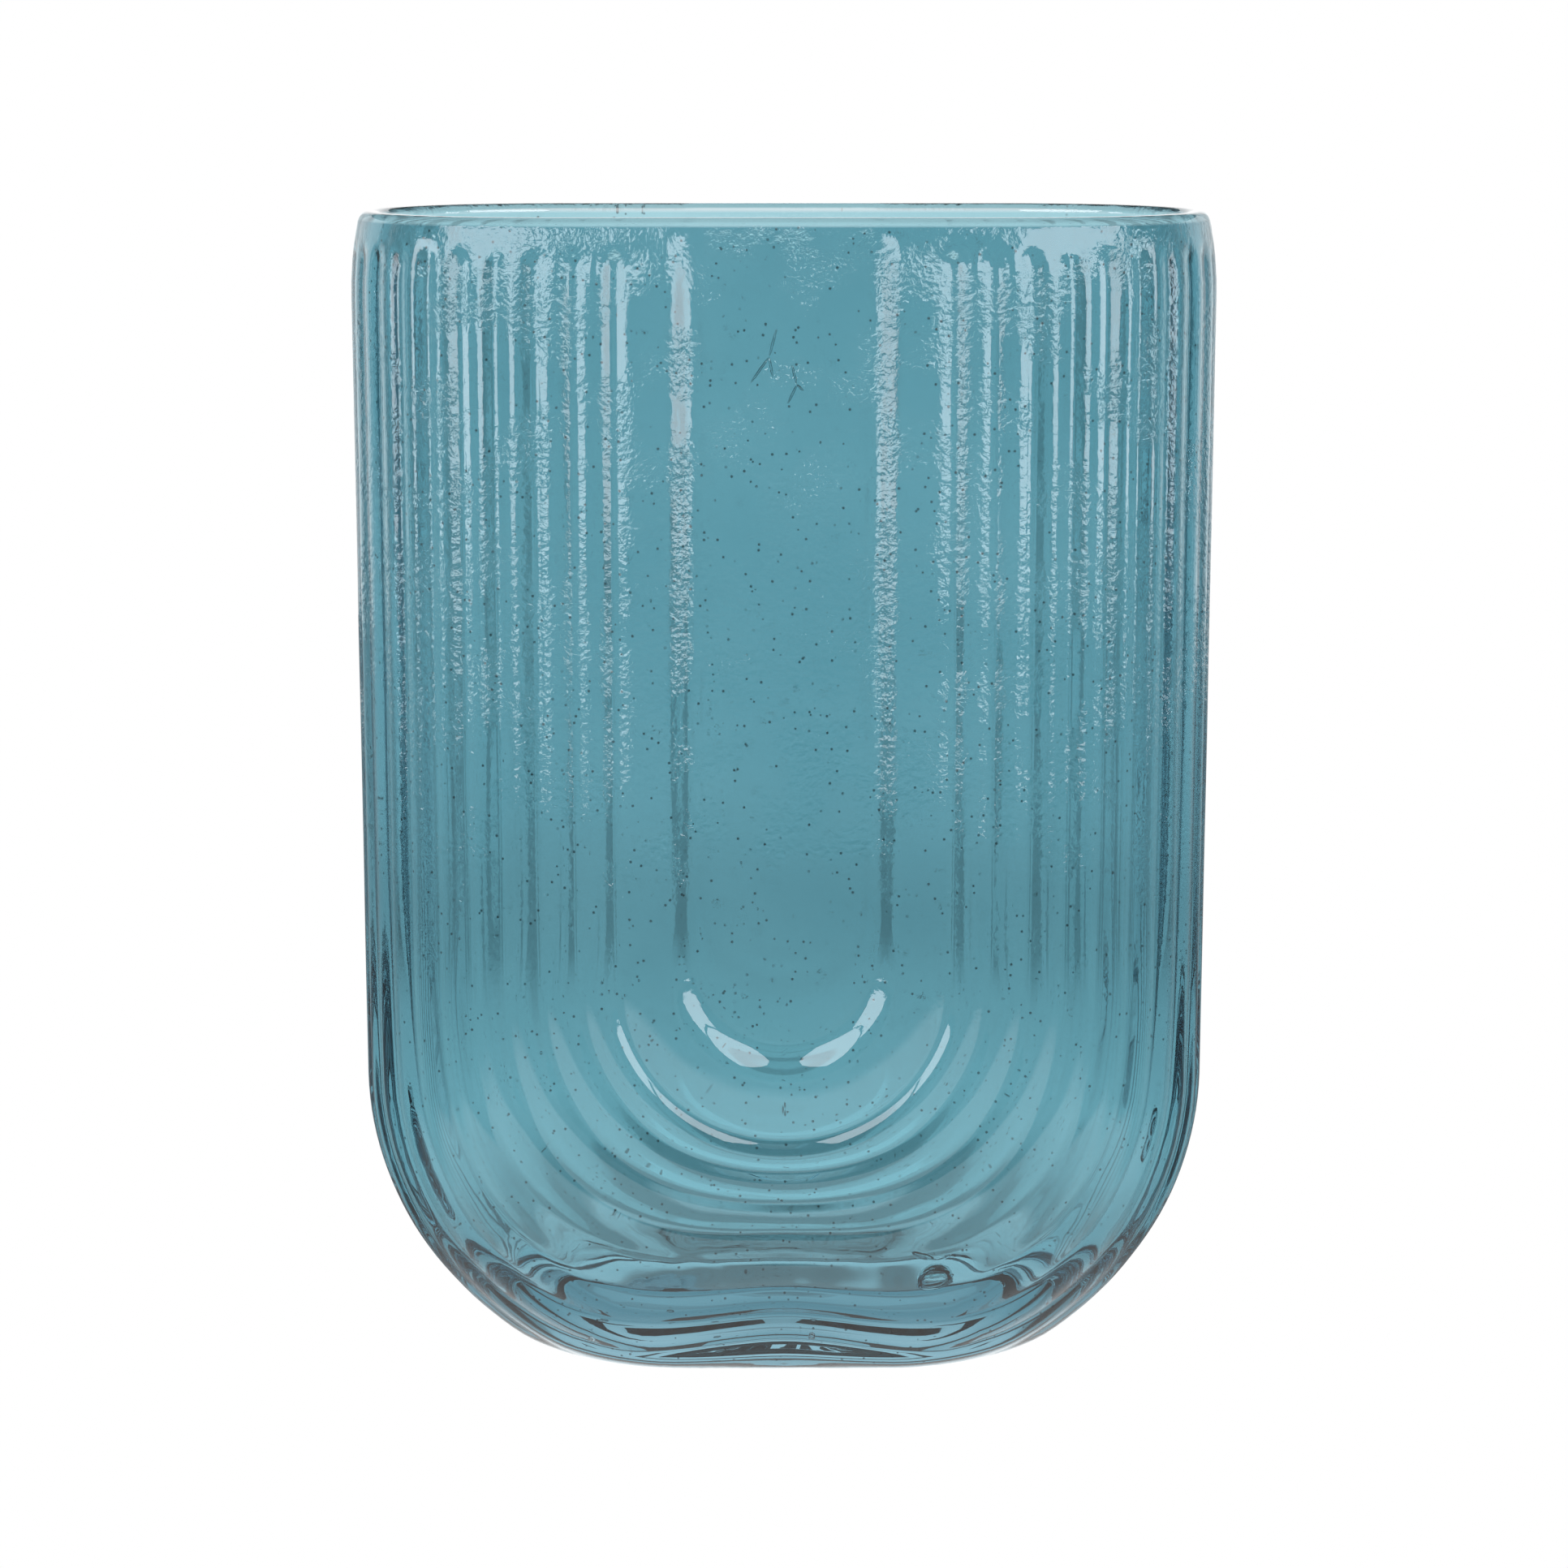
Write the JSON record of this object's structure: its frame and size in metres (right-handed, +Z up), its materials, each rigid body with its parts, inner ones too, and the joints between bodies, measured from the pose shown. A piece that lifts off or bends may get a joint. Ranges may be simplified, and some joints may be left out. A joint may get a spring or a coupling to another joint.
{
  "type": "glass bud vase",
  "caption": "Flat-oval bud vase in thick teal glass with a smooth centre panel, nested U-shaped flutes and a polished rim.",
  "frame": {"origin": "middle of the flat underside of the foot", "axes": "+Z up through the mouth, -Y out of the front panel, +X along the long way of the oval"},
  "size_m": [0.1496, 0.072, 0.2],
  "materials": {
    "glass": "polished"
  },
  "bodies": {
    "root": {"glass_body": "glass"}
  },
  "joints": []
}
